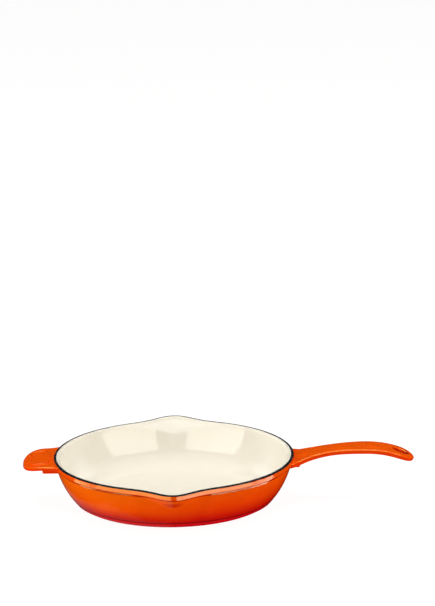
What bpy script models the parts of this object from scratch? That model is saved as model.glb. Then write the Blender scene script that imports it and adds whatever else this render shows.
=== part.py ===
"""Enamelled cast-iron skillet with two pouring spouts, a long arched handle and a helper handle.

The pan stands on the plane z = 0 and its axis is +Z. The long handle points to +X, the helper
handle to -X, and the spouts to +Y and -Y. All lengths are in metres.

The iron is one casting on the real pan. Here it is split where its features meet, and the fired
enamel coats are thin solids of their own, a small gap away from the iron that they cover.
"""

import math

import bmesh
import bpy
from mathutils import Matrix, Vector

# Driving dimensions of the pan.
RIM_RADIUS = 0.1400
HEIGHT = 0.0535
WALL = 0.0052
FLOOR_TOP = 0.0050
COAT = 0.0005
GAP = 0.0003
COVERED = COAT + GAP

# Collar band round the lip, and the dark coat on the lip's outer corner.
BAND_BOTTOM = 0.0469
BAND_STEP = 0.0025
EDGE_WIDTH = 0.0023
EDGE_DROP = 0.0016
LIP_ROUND = 0.0012

# Outer wall: one wide arc in profile, then a narrow groove and the rounded edge of the foot.
WALL_TOP = 0.0466
WALL_END = 0.0032
WALL_ARC_RADIUS = 0.0976
WALL_ARC_CENTRE = (0.0420, 0.0681)
FOOT_FLAT_RADIUS = 0.1065
FOOT_ROUND = 0.0100
FOOT_TOP = 0.0027

# Inside: an arc parallel to the outer wall, a wide corner, and a flat floor.
INNER_CORNER_RADIUS = 0.0340
INNER_LIP_ROUND = 0.0025

# Spouts: how far they stand out, their angular width, and how steeply their channels run down.
SPOUT_REACH = 0.0191
SPOUT_WIDTH = 0.181
CHANNEL_FALL_INSIDE = 1.85
CHANNEL_FALL_OUTSIDE = 1.12
CHANNEL_BLEND = 0.0020

# Stations round the pan.
SPOUT_STEP = math.radians(4.0)
SPOUT_STEPS = 6
PLAIN_STEPS = 18

# Long handle.
HANDLE_ROOT = 0.1460
HANDLE_PEAK = 0.2190
HANDLE_TIP = 0.2790
HANDLE_PEAK_TOP = 0.0618
HANDLE_ROOT_DROP = 0.0104
HANDLE_TIP_DROP = 0.0150
HANDLE_ARCH_POWER = 2.3
HANDLE_THICKNESS = 0.0060
HANDLE_TIP_THICKNESS = 0.0054
HANDLE_NECK = 0.0137
HANDLE_GRIP = 0.0172
HANDLE_ROOT_FLARE = 0.0110
HANDLE_FLARE_LENGTH = 0.0180
HANDLE_FLARE_MOST = 0.0170
HANDLE_ROOT_SLOPE = 0.15
HANDLE_START = 0.1320
HANDLE_EDGE = 0.0018
HANDLE_LEAST_HALF_WIDTH = 0.0016
GRIP_START = 0.1750
GRIP_LENGTH = 0.0500
THINNING_START = 0.2500
TIP_ROUNDING = 0.0165
HOLE_CENTRE = 0.2622
HOLE_LENGTH = 0.0200
HOLE_WIDTH = 0.0128
HOLE_TAPER = 0.25
HOLE_CUTTER_DEPTH = 0.0300

# Helper handle.
HELPER_TIP = 0.1748
HELPER_HALF_WIDTH = 0.0365
HELPER_TOP = 0.0530
HELPER_THICKNESS = 0.0048
HELPER_DROOP = 0.0050
HELPER_DROOP_START = 0.1500
HELPER_DROOP_POWER = 1.8
HELPER_EDGE = 0.0015
HELPER_START = 0.1280
HELPER_ROOT = 0.1350
HELPER_FLARE = 0.0050
HELPER_FLARE_LENGTH = 0.0100
HELPER_ROUND_POWER = 2.5
HELPER_LEAST_HALF_WIDTH = 0.0040
PANEL_START = 0.1435
PANEL_END = 0.1680
PANEL_HALF_WIDTH = 0.0250
PANEL_THICKNESS = 0.0008
PANEL_EDGE = 0.0003
PANEL_ROUND_POWER = 6.0
PANEL_ROUND_ROOT = 0.3
PANEL_LEAST_SHARE = 0.6

# Lugs under the handle roots.
LUG_BOTTOM = 0.0419
LUG_EDGE = 0.0012
LUG_START = 0.1300
LONG_LUG_END = 0.1462
LONG_LUG_HALF_WIDTH = 0.0200
LONG_LUG_TOP = 0.0472
HELPER_LUG_END = 0.1520
HELPER_LUG_HALF_WIDTH = 0.0290
HELPER_LUG_TOP = 0.0500

# The cutter that trims the handles and lugs to the pan: its top, and its levels down the wall.
CLEARANCE_TOP = 0.0800
CLEARANCE_LOW = 0.0300
CLEARANCE_STEP = 0.0040
CLEARANCE_STEPS = 3


# ---------------------------------------------------------------- scene and materials


def clear_scene():
    for old in list(bpy.data.objects):
        bpy.data.objects.remove(old, do_unlink=True)


def new_collection(name):
    collection = bpy.data.collections.new(name)
    bpy.context.scene.collection.children.link(collection)
    return collection


def new_material(name, colour, roughness, metallic):
    material = bpy.data.materials.new(name)
    material.use_nodes = True
    shader = material.node_tree.nodes["Principled BSDF"]
    shader.inputs["Base Color"].default_value = (*colour, 1.0)
    shader.inputs["Roughness"].default_value = roughness
    shader.inputs["Metallic"].default_value = metallic
    material.diffuse_color = (*colour, 1.0)
    return material


def new_object(name, mesh, collection, material=None):
    piece = bpy.data.objects.new(name, mesh)
    collection.objects.link(piece)
    if material:
        mesh.materials.append(material)
        mesh.shade_smooth()
        mesh.set_sharp_from_angle(angle=math.radians(35))
    return piece


def as_cutter(piece):
    piece.hide_render = True
    piece.display_type = "WIRE"
    return piece


def cut(piece, cutter):
    modifier = piece.modifiers.new("cut_" + cutter.name, "BOOLEAN")
    modifier.operation = "DIFFERENCE"
    modifier.solver = "EXACT"
    modifier.object = cutter


# ---------------------------------------------------------------- rings round the pan


def station_angles():
    """Angles round the pan, close together across each spout and wider apart between them."""
    angles = []
    half = SPOUT_STEPS * SPOUT_STEP
    plain_step = (math.pi - 2 * half) / PLAIN_STEPS
    for axis in (math.pi / 2, 3 * math.pi / 2):
        for step in range(-SPOUT_STEPS, SPOUT_STEPS):
            angles.append(axis + step * SPOUT_STEP)
        for step in range(PLAIN_STEPS):
            angles.append(axis + half + step * plain_step)
    return angles


def soft_positive(value, blend):
    """The value where it is positive and 0 where it is negative, rounded over a length of blend."""
    return 0.5 * (value + math.hypot(value, blend))


def spout_bulge(angle, fall):
    """How far the outline stands out past its circle, once the spout's channel has dropped by fall."""
    off_axis = math.atan2(abs(math.cos(angle)), abs(math.sin(angle)))
    full = SPOUT_REACH * math.exp(-((off_axis / SPOUT_WIDTH) ** 2))
    blend = min(CHANNEL_BLEND, fall)
    return soft_positive(full - fall, blend) - soft_positive(-fall, blend)


def ring(z, radius, fall=0.0):
    """One outline round the pan: the rim's outline with its spouts, moved inwards to this radius."""
    points = []
    inset = RIM_RADIUS - radius
    tiny = 1e-4
    for angle in station_angles():
        reach = RIM_RADIUS + spout_bulge(angle, fall)
        slope = (spout_bulge(angle + tiny, fall) - spout_bulge(angle - tiny, fall)) / (2 * tiny)
        outward = Vector((math.cos(angle), math.sin(angle), 0.0))
        around = Vector((-math.sin(angle), math.cos(angle), 0.0))
        normal = (reach * outward - slope * around).normalized()
        points.append(reach * outward - inset * normal + Vector((0.0, 0.0, z)))
    return points


def inner_ring(z, radius):
    """A ring of the inside wall, where the spout's channel runs down from the lip."""
    top = HEIGHT - INNER_LIP_ROUND
    return ring(z, radius, max(0.0, CHANNEL_FALL_INSIDE * (top - z)))


def outer_ring(z, radius):
    """A ring of the outside wall, where the swelling under the spout dies away downwards."""
    return ring(z, radius, max(0.0, CHANNEL_FALL_OUTSIDE * (WALL_TOP - z)))


def moved_inwards(rings, distance):
    """The same rings, moved against the surface's normal, which points away from the iron."""
    moved = []
    count = len(rings[0])
    for row, points in enumerate(rings):
        before = rings[max(row - 1, 0)]
        after = rings[min(row + 1, len(rings) - 1)]
        shifted = []
        for i, point in enumerate(points):
            along = after[i] - before[i]
            around = points[(i + 1) % count] - points[i - 1]
            shifted.append(point - distance * along.cross(around).normalized())
        moved.append(shifted)
    return moved


def mesh_of_rings(name, rings, first_cap=False, last_cap=False, joined=False):
    """A skin over the rings. Its faces look to the left of the rings' order, seen towards +angle."""
    mesh = bpy.data.meshes.new(name)
    work = bmesh.new()
    rows = []
    for points in rings:
        rows.append([work.verts.new(point) for point in points])
    pairs = list(zip(rows, rows[1:]))
    if joined:
        pairs.append((rows[-1], rows[0]))
    for one, two in pairs:
        for i in range(len(one)):
            j = (i + 1) % len(one)
            work.faces.new((one[i], two[i], two[j], one[j]))
    if first_cap:
        work.faces.new(rows[0])
    if last_cap:
        work.faces.new(list(reversed(rows[-1])))
    work.to_mesh(mesh)
    work.free()
    return mesh


def arc(centre, radius, start, end, steps):
    """Points (radius, z) on an arc from one angle to another, measured from straight down outwards."""
    points = []
    for step in range(steps + 1):
        angle = start + (end - start) * step / steps
        points.append((centre[0] + radius * math.sin(angle), centre[1] - radius * math.cos(angle)))
    return points


# ---------------------------------------------------------------- the bowl


def wall_radius(z, arc_radius):
    centre_radius, centre_z = WALL_ARC_CENTRE
    return centre_radius + math.sqrt(arc_radius**2 - (centre_z - z) ** 2)


def outer_wall_radius(z):
    return wall_radius(z, WALL_ARC_RADIUS)


def inner_wall_radius(z):
    return wall_radius(z, WALL_ARC_RADIUS - WALL)


def interior_rings():
    """The cream surface from the floor's edge up the corner, the wall and over the lip."""
    rise = WALL_ARC_CENTRE[1] - FLOOR_TOP - INNER_CORNER_RADIUS
    apart = WALL_ARC_RADIUS - WALL - INNER_CORNER_RADIUS
    lean = math.asin(rise / apart)
    centre = (WALL_ARC_CENTRE[0] + apart * math.cos(lean), FLOOR_TOP + INNER_CORNER_RADIUS)
    profile = arc(centre, INNER_CORNER_RADIUS, 0.0, math.pi / 2 - lean, 5)
    corner_top = profile[-1][1]
    wall_top = HEIGHT - INNER_LIP_ROUND
    for share in (0.3, 0.55, 0.78, 1.0):
        z = corner_top + share * (wall_top - corner_top)
        profile.append((inner_wall_radius(z), z))
    lip_centre = inner_wall_radius(wall_top) + INNER_LIP_ROUND
    for turned in (math.radians(40), math.radians(75)):
        radius = lip_centre - INNER_LIP_ROUND * math.cos(turned)
        profile.append((radius, wall_top + INNER_LIP_ROUND * math.sin(turned)))
    lip_end = RIM_RADIUS - EDGE_WIDTH - GAP
    profile.append((lip_end - COVERED, HEIGHT))
    profile.append((lip_end, HEIGHT))
    return [inner_ring(z, radius) for radius, z in profile]


def exterior_rings():
    """The orange wall surface from under the collar band down to the groove above the foot."""
    rings = []
    steps = 9
    for step in range(steps + 1):
        z = WALL_TOP + (WALL_END - WALL_TOP) * step / steps
        rings.append(outer_ring(z, outer_wall_radius(z)))
    return rings


def foot_arc(inset, top):
    """The foot's rounded edge, from the flat that it stands on up to a height, moved inwards."""
    radius = FOOT_ROUND - inset
    end = math.acos((FOOT_ROUND - top) / radius)
    return arc((FOOT_FLAT_RADIUS, FOOT_ROUND), radius, 0.0, end, 4)


def add_shell(name, rings, cap, collection, material):
    """A coat: its visible surface, thickened towards the iron."""
    mesh = mesh_of_rings(name, rings, first_cap=cap)
    shell = new_object(name, mesh, collection, material)
    thickness = shell.modifiers.new("coat", "SOLIDIFY")
    thickness.thickness = COAT
    thickness.offset = -1.0
    thickness.use_even_offset = True
    return shell


def add_bowl_casting(collection, material):
    """The iron between the inside and outside coats, down to the foot that the base coat covers."""
    rings = moved_inwards(interior_rings()[:-1], COVERED)
    neck = RIM_RADIUS - BAND_STEP - GAP
    rings.append(ring(HEIGHT - COVERED - GAP, neck))
    rings.append(ring(BAND_BOTTOM, neck))
    rings += moved_inwards(exterior_rings(), COVERED)
    for radius, z in reversed(foot_arc(COVERED, FOOT_TOP)):
        rings.append(outer_ring(z, radius))
    mesh = mesh_of_rings("bowl_casting", rings, first_cap=True, last_cap=True)
    return new_object("bowl_casting", mesh, collection, material)


def add_rim_band(collection, material):
    """The raised collar. Its upper part fills the lip's corner under the dark edge coat."""
    inner = RIM_RADIUS - BAND_STEP
    top = HEIGHT - COVERED
    shoulder = RIM_RADIUS - COVERED
    face_top = HEIGHT - EDGE_DROP - GAP
    soft = 0.0006
    section = [
        (inner, top),
        (shoulder - LIP_ROUND / 2, top),
        (shoulder, top - LIP_ROUND / 2),
        (shoulder, face_top),
        (RIM_RADIUS, face_top),
        (RIM_RADIUS, BAND_BOTTOM + soft),
        (RIM_RADIUS - soft, BAND_BOTTOM),
        (inner, BAND_BOTTOM),
    ]
    rings = [ring(z, radius) for radius, z in section]
    return new_object("rim_band", mesh_of_rings("rim_band", rings, joined=True), collection, material)


def add_rim_edge_coat(collection, material):
    """The near-black line on the lip: a thin cap round its outer corner."""
    low = HEIGHT - EDGE_DROP
    inner = RIM_RADIUS - EDGE_WIDTH
    outside = arc((RIM_RADIUS - LIP_ROUND, HEIGHT - LIP_ROUND), LIP_ROUND, math.pi, math.pi / 2, 2)
    small = LIP_ROUND - COAT
    inside = arc((RIM_RADIUS - LIP_ROUND, HEIGHT - LIP_ROUND), small, math.pi / 2, math.pi, 2)
    section = [(inner, HEIGHT), *outside, (RIM_RADIUS, low)]
    section += [(RIM_RADIUS - COAT, low), *inside, (inner, HEIGHT - COAT)]
    rings = [ring(z, radius) for radius, z in section]
    mesh = mesh_of_rings("rim_edge_coat", rings, joined=True)
    return new_object("rim_edge_coat", mesh, collection, material)


def turned_mesh(name, profile):
    """A closed profile in the XZ plane as a loop of edges, for a Screw modifier round Z."""
    mesh = bpy.data.meshes.new(name)
    edges = [(i, i + 1) for i in range(len(profile) - 1)]
    mesh.from_pydata([(radius, 0.0, z) for radius, z in profile], edges, [])
    return mesh


def turn(piece, steps):
    screw = piece.modifiers.new("turned", "SCREW")
    screw.axis = "Z"
    screw.angle = 2 * math.pi
    screw.steps = steps
    screw.render_steps = steps
    screw.use_merge_vertices = True
    screw.merge_threshold = 0.00001
    return screw


def add_base_enamel(collection, material):
    """The coat that the pan stands on: a disc with a low rounded edge."""
    outside = list(reversed(foot_arc(0.0, FOOT_TOP)))
    inside = foot_arc(COAT, FOOT_TOP)
    profile = [*outside, (0.0, 0.0), (0.0, COAT), *inside, outside[0]]
    piece = new_object("base_enamel", turned_mesh("base_enamel", profile), collection)
    piece.data.materials.append(material)
    turn(piece, 72)
    return piece


def body_clearance(name, gap, collection):
    """A cutter of the pan's own outside, this far larger, round the collar band and the wall under it."""
    reach = RIM_RADIUS + gap
    step = BAND_BOTTOM - gap
    profile = [(0.0, CLEARANCE_TOP), (reach, CLEARANCE_TOP), (reach, step)]
    profile.append((outer_wall_radius(WALL_TOP) + gap, step))
    for level in range(CLEARANCE_STEPS, -1, -1):
        z = CLEARANCE_LOW + level * CLEARANCE_STEP
        profile.append((outer_wall_radius(z) + gap, z))
    profile.append((0.0, CLEARANCE_LOW))
    cutter = new_object(name, turned_mesh(name, profile), collection)
    turn(cutter, 180)
    return as_cutter(cutter)


# ---------------------------------------------------------------- handles


def rounded_section(x, half_width, top, bottom, edge):
    """A rounded rectangle across a handle, in the plane at this x."""
    points = []
    edge = min(edge, 0.95 * half_width, 0.48 * (top - bottom))
    corners = (
        (half_width - edge, top - edge, 0.0),
        (edge - half_width, top - edge, math.pi / 2),
        (edge - half_width, bottom + edge, math.pi),
        (half_width - edge, bottom + edge, 1.5 * math.pi),
    )
    for y, z, start in corners:
        for step in range(3):
            angle = start + step * math.pi / 4
            points.append(Vector((x, y + edge * math.cos(angle), z + edge * math.sin(angle))))
    return points


def loft(name, sections):
    """A closed solid through sections that all have as many points."""
    mesh = mesh_of_rings(name, sections, first_cap=True, last_cap=True)
    work = bmesh.new()
    work.from_mesh(mesh)
    bmesh.ops.recalc_face_normals(work, faces=work.faces)
    work.to_mesh(mesh)
    work.free()
    return mesh


def smooth_step(value):
    value = min(max(value, 0.0), 1.0)
    return value * value * (3 - 2 * value)


def rounded_end(share, power=2.0, root=0.47):
    """The share of its width that a handle has left, from 0 where its end starts to 1 at the tip."""
    share = min(max(share, 0.0), 1.0)
    return (1 - share**power) ** root


def end_stations(start, straight_end, tip, plain, rounding):
    """Positions along a handle: even along its length, then closer together round its end."""
    stations = []
    for step in range(plain):
        stations.append(start + (straight_end - start) * step / plain)
    for step in range(rounding + 1):
        turned = math.sin(0.5 * math.pi * step / rounding)
        stations.append(straight_end + (tip - straight_end) * turned)
    return stations


def long_handle_top(x):
    """Height of the arched top face: it leaves the band almost level, peaks, and drops to the tip."""
    if x < HANDLE_ROOT:
        root_top = HANDLE_PEAK_TOP - HANDLE_ROOT_DROP
        return root_top - HANDLE_ROOT_SLOPE * (HANDLE_ROOT - x)
    if x < HANDLE_PEAK:
        share = (HANDLE_PEAK - x) / (HANDLE_PEAK - HANDLE_ROOT)
        return HANDLE_PEAK_TOP - HANDLE_ROOT_DROP * share**HANDLE_ARCH_POWER
    share = (x - HANDLE_PEAK) / (HANDLE_TIP - HANDLE_PEAK)
    return HANDLE_PEAK_TOP - HANDLE_TIP_DROP * share**HANDLE_ARCH_POWER


def long_handle_half_width(x, inset):
    """Half the handle's width: wide at the root, narrow at the neck, wider at the grip, round tip."""
    flare = HANDLE_ROOT_FLARE * math.exp(-(x - HANDLE_ROOT) / HANDLE_FLARE_LENGTH)
    width = HANDLE_NECK + min(flare, HANDLE_FLARE_MOST)
    width += (HANDLE_GRIP - HANDLE_NECK) * smooth_step((x - GRIP_START) / GRIP_LENGTH)
    end_start = HANDLE_TIP - TIP_ROUNDING
    return (width - inset) * rounded_end((x - end_start) / (TIP_ROUNDING - inset))


def leaned(section, x):
    """A section past the peak, turned so that it is square to the drooping top face."""
    reach = 0.0001
    fall = max(0.0, long_handle_top(x - reach) - long_handle_top(x + reach)) / (2 * reach)
    lean = math.atan(fall)
    top = long_handle_top(x)
    turned = []
    for point in section:
        depth = top - point.z
        turned.append(Vector((x - depth * math.sin(lean), point.y, top - depth * math.cos(lean))))
    return turned


def long_handle_mesh(name, inset):
    """The long handle's solid, with its surface this far inside the finished one."""
    sections = []
    tip = HANDLE_TIP - inset
    for x in end_stations(HANDLE_START, HANDLE_TIP - TIP_ROUNDING, tip, 18, 7):
        half_width = max(long_handle_half_width(x, inset), HANDLE_LEAST_HALF_WIDTH)
        top = long_handle_top(x) - inset
        share = smooth_step((x - THINNING_START) / (HANDLE_TIP - THINNING_START))
        thickness = HANDLE_THICKNESS + (HANDLE_TIP_THICKNESS - HANDLE_THICKNESS) * share
        bottom = top - thickness + 2 * inset
        sections.append(leaned(rounded_section(x, half_width, top, bottom, HANDLE_EDGE), x))
    return loft(name, sections)


def hole_cutter(name, inset, collection):
    """The teardrop hanging hole: its round end is towards the tip, and it is square to the handle."""
    work = bmesh.new()
    half_length = 0.5 * HOLE_LENGTH + inset
    half_width = 0.5 * HOLE_WIDTH + inset
    bmesh.ops.create_cone(
        work,
        cap_ends=True,
        segments=28,
        radius1=half_length,
        radius2=half_length,
        depth=HOLE_CUTTER_DEPTH,
    )
    for vertex in work.verts:
        along = vertex.co.x / half_length
        vertex.co.y *= half_width / half_length * (1.0 + HOLE_TAPER * along)
    mesh = bpy.data.meshes.new(name)
    work.to_mesh(mesh)
    work.free()
    cutter = new_object(name, mesh, collection)
    reach = 0.5 * half_length
    rise = long_handle_top(HOLE_CENTRE + reach) - long_handle_top(HOLE_CENTRE - reach)
    cutter.rotation_euler = (0.0, -math.atan2(rise, 2 * reach), 0.0)
    cutter.location = (HOLE_CENTRE, 0.0, long_handle_top(HOLE_CENTRE))
    return as_cutter(cutter)


def helper_top(x):
    """Height of the helper handle's top face. Here x counts from the axis outwards."""
    share = max(0.0, x - HELPER_DROOP_START) / (HELPER_TIP - HELPER_DROOP_START)
    return HELPER_TOP - HELPER_DROOP * share**HELPER_DROOP_POWER


def helper_half_width(x, inset):
    width = HELPER_HALF_WIDTH + HELPER_FLARE * math.exp(-(x - HELPER_ROOT) / HELPER_FLARE_LENGTH)
    share = (x - HELPER_DROOP_START) / (HELPER_TIP - inset - HELPER_DROOP_START)
    return (width - inset) * rounded_end(share, HELPER_ROUND_POWER, 1 / HELPER_ROUND_POWER)


def helper_handle_mesh(name, inset):
    """The helper handle's solid, built towards +X and then turned to -X."""
    sections = []
    for x in end_stations(HELPER_START, HELPER_DROOP_START, HELPER_TIP - inset, 6, 9):
        half_width = max(helper_half_width(x, inset), HELPER_LEAST_HALF_WIDTH)
        top = helper_top(x) - inset
        bottom = top - HELPER_THICKNESS + 2 * inset
        sections.append(rounded_section(x, half_width, top, bottom, HELPER_EDGE))
    return turned_to_helper_side(loft(name, sections))


def turned_to_helper_side(mesh):
    mesh.transform(Matrix.Rotation(math.pi, 4, "Z"))
    return mesh


def add_handle(side, mesh_maker, clearance, root_relief, holes, pieces, cutters, materials):
    """The iron core of one handle and the coat round it. The coat is open where it meets the band."""
    core = new_object(side + "_casting", mesh_maker(side + "_casting", COVERED), pieces, materials["iron"])
    coat = new_object(side + "_enamel", mesh_maker(side + "_enamel", 0.0), pieces, materials["flame"])
    hollow = as_cutter(new_object(side + "_hollow", mesh_maker(side + "_hollow", COAT), cutters))
    if holes:
        cut(core, hole_cutter("hole_in_iron", COVERED, cutters))
        cut(coat, hole_cutter("hole_in_coat", 0.0, cutters))
        cut(hollow, hole_cutter("hole_in_hollow", COAT, cutters))
    cut(core, clearance)
    cut(coat, clearance)
    cut(hollow, root_relief)
    cut(coat, hollow)


def add_helper_panel(collection, material):
    """The blank raised panel on the helper handle, which follows the droop of its top face."""
    sections = []
    middle = 0.5 * (PANEL_START + PANEL_END)
    half_length = 0.5 * (PANEL_END - PANEL_START)
    steps = 12
    for step in range(steps + 1):
        along = -math.cos(math.pi * step / steps)
        x = middle + half_length * along
        share = rounded_end(abs(along), PANEL_ROUND_POWER, PANEL_ROUND_ROOT)
        half_width = PANEL_HALF_WIDTH * max(share, PANEL_LEAST_SHARE)
        bottom = helper_top(x) + GAP
        sections.append(rounded_section(x, half_width, bottom + PANEL_THICKNESS, bottom, PANEL_EDGE))
    mesh = turned_to_helper_side(loft("helper_handle_panel", sections))
    return new_object("helper_handle_panel", mesh, collection, material)


def add_lug(name, start, end, half_width, top, handle_clearance, clearance, collection, material):
    """A block under a handle's root, trimmed to the handle's underside and to the wall."""
    work = bmesh.new()
    bmesh.ops.create_cube(work, size=1.0)
    size = Vector((abs(end - start), 2 * half_width, top - LUG_BOTTOM))
    bmesh.ops.scale(work, vec=size, verts=work.verts)
    middle = Vector((0.5 * (start + end), 0.0, 0.5 * (top + LUG_BOTTOM)))
    bmesh.ops.translate(work, vec=middle, verts=work.verts)
    mesh = bpy.data.meshes.new(name)
    work.to_mesh(mesh)
    work.free()
    lug = new_object(name, mesh, collection, material)
    bevel = lug.modifiers.new("soft_edges", "BEVEL")
    bevel.width = LUG_EDGE
    bevel.segments = 2
    cut(lug, handle_clearance)
    cut(lug, clearance)
    return lug


# ---------------------------------------------------------------- assembly


def build():
    clear_scene()
    pieces = new_collection("enamelled_skillet")
    cutters = new_collection("cutters")
    materials = {
        "iron": new_material("grey_iron", (0.045, 0.045, 0.050), 0.75, 0.9),
        "cream": new_material("cream_enamel", (0.90, 0.84, 0.70), 0.12, 0.0),
        "flame": new_material("flame_enamel", (0.83, 0.09, 0.004), 0.12, 0.0),
        "red": new_material("red_enamel", (0.45, 0.012, 0.006), 0.18, 0.0),
        "edge": new_material("dark_ground_coat", (0.010, 0.014, 0.018), 0.30, 0.0),
    }

    add_bowl_casting(pieces, materials["iron"])
    add_shell("interior_enamel", interior_rings(), True, pieces, materials["cream"])
    add_shell("exterior_enamel", exterior_rings(), False, pieces, materials["flame"])
    add_rim_band(pieces, materials["flame"])
    add_rim_edge_coat(pieces, materials["edge"])
    add_base_enamel(pieces, materials["red"])

    clearance = body_clearance("body_clearance", GAP, cutters)
    root_relief = body_clearance("root_relief", -2 * GAP, cutters)
    add_handle(
        "long_handle", long_handle_mesh, clearance, root_relief, True, pieces, cutters, materials
    )
    add_handle(
        "helper_handle", helper_handle_mesh, clearance, root_relief, False, pieces, cutters, materials
    )
    add_helper_panel(pieces, materials["flame"])

    over_long = as_cutter(new_object("over_long_lug", long_handle_mesh("over_long_lug", -GAP), cutters))
    over_helper = as_cutter(
        new_object("over_helper_lug", helper_handle_mesh("over_helper_lug", -GAP), cutters)
    )
    add_lug(
        "long_handle_lug",
        LUG_START,
        LONG_LUG_END,
        LONG_LUG_HALF_WIDTH,
        LONG_LUG_TOP,
        over_long,
        clearance,
        pieces,
        materials["flame"],
    )
    add_lug(
        "helper_handle_lug",
        -LUG_START,
        -HELPER_LUG_END,
        HELPER_LUG_HALF_WIDTH,
        HELPER_LUG_TOP,
        over_helper,
        clearance,
        pieces,
        materials["flame"],
    )


build()
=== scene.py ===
"""The looks of the enamelled cast-iron skillet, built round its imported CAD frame.

The frame has no joints, so every piece rides on its one body. The CAD coats, the bowl's iron, the panel and
the lugs are stood for by fine, smooth pieces with the same outlines. The two handle castings, hidden under
their coats, stay as the CAD made them.
"""

import math

import bmesh
import bpy
import numpy as np
from mathutils import Matrix, Vector


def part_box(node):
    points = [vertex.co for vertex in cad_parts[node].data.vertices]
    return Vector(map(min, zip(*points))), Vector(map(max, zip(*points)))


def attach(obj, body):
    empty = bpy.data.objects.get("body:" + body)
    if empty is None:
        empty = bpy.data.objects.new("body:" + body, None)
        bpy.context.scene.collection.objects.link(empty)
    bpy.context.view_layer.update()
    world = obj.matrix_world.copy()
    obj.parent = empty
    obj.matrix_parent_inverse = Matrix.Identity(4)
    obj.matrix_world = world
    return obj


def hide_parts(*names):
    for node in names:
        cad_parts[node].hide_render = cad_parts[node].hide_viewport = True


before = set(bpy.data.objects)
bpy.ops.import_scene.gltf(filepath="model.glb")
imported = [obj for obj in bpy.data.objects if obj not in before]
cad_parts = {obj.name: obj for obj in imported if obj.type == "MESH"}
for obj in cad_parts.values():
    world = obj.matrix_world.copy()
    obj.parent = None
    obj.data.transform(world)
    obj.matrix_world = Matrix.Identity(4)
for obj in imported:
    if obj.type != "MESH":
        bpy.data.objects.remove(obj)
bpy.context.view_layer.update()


# ---------------------------------------------------------------- sizes, from the frame

# The thickness of the cream coat and of the dark edge's skirt, in metres.
COAT = 0.0005

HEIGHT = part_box("interior_enamel")[1].z
RIM_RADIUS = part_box("rim_band")[1].x
SPOUT_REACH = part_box("rim_band")[1].y - RIM_RADIUS
BAND_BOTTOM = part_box("rim_band")[0].z
FLOOR_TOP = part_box("interior_enamel")[0].z + COAT
WALL_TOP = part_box("exterior_enamel")[1].z
WALL_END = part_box("exterior_enamel")[0].z
FOOT_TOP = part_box("base_enamel")[1].z
EDGE_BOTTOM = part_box("rim_edge_coat")[0].z
HANDLE_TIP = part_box("long_handle_enamel")[1].x
HANDLE_PEAK_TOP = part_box("long_handle_enamel")[1].z
HELPER_TIP = -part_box("helper_handle_enamel")[0].x
HELPER_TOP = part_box("helper_handle_enamel")[1].z

# How far under the surface hidden faces lie: the iron's, and the back of the orange wall.
COVERED = 0.0008
IRON_DEPTH = 0.0034
WALL_BACK = 0.0032
WALL_BACK_AT_FOOT = 0.0026
WALL_BACK_AT_END = 0.0022

# Small steps that keep the edges of neighbouring pieces tucked under each other.
OVERLAP = 0.0002
TUCK = 0.0006
LIP_OVERLAP = 0.00005

# The bowl's section, in metres from the axis and up from the table.
WALL = 0.0052
WALL_ARC_RADIUS = 0.0976
WALL_ARC_CENTRE = (0.0420, 0.0681)
INNER_CORNER_RADIUS = 0.0340
INNER_LIP_ROUND = 0.0025
FOOT_FLAT_RADIUS = 0.1065
FOOT_ROUND = 0.0100
FOOT_COAT = 0.0010
FOOT_INSET = 0.0030
FOOT_LIP = 0.0004
FOOT_LIP_EDGE = 0.0003
FOOT_LIP_RUN = 0.0007
FOOT_FLAT_INSET = 0.0010
EDGE_WIDTH = 0.0038
EDGE_SHORTENED = 0.0003
EDGE_DEPTH = 0.0007
BAND_STEP = 0.0025
LIP_ROUND = 0.0011
BAND_ROUND = 0.0012
BAND_DRAFT = math.radians(9.0)
SHOULDER_DEPTH = 0.0055
SHOULDER_RELIEF = 0.0011
GROOVE_HEIGHT = 0.0078
GROOVE_HALF_WIDTH = 0.0007
GROOVE_DEPTH = 0.0006

# The spouts: their angular width, and how steeply their channels run down.
SPOUT_WIDTH = 0.181
CHANNEL_FALL_INSIDE = 1.85
CHANNEL_FALL_OUTSIDE = 1.12
CHANNEL_BLEND = 0.0014

# A fall so great that no spout is left and the outline is a plain circle.
NO_SPOUT = 1.0

# The long handle.
HANDLE_START = 0.1330
HANDLE_ROOT = 0.1460
HANDLE_PEAK = 0.2190
HANDLE_ROOT_DROP = 0.0104
HANDLE_TIP_DROP = 0.0150
HANDLE_ARCH_POWER = 2.3
HANDLE_ROOT_SLOPE = 0.15
HANDLE_THICKNESS = 0.0060
HANDLE_TIP_THICKNESS = 0.0054
HANDLE_THINNING_START = 0.2500
HANDLE_NECK = 0.0137
HANDLE_GRIP = 0.0172
GRIP_START = 0.1750
GRIP_LENGTH = 0.0500
ROOT_FLARE = 0.0110
ROOT_FLARE_LENGTH = 0.0180
ROOT_FLARE_MOST = 0.0170
TIP_ROUNDING = 0.0165
HANDLE_EDGE = 0.0018
HANDLE_CROWN = -0.0003
HOLE_CENTRE = 0.2622
HOLE_HALF_LENGTH = 0.0100
HOLE_HALF_WIDTH = 0.0064
HOLE_TAPER = 0.25
HOLE_EDGE = 0.0015
HOLE_PAST_FACE = 0.0030
HOLE_WIDENING = 0.0060

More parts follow.
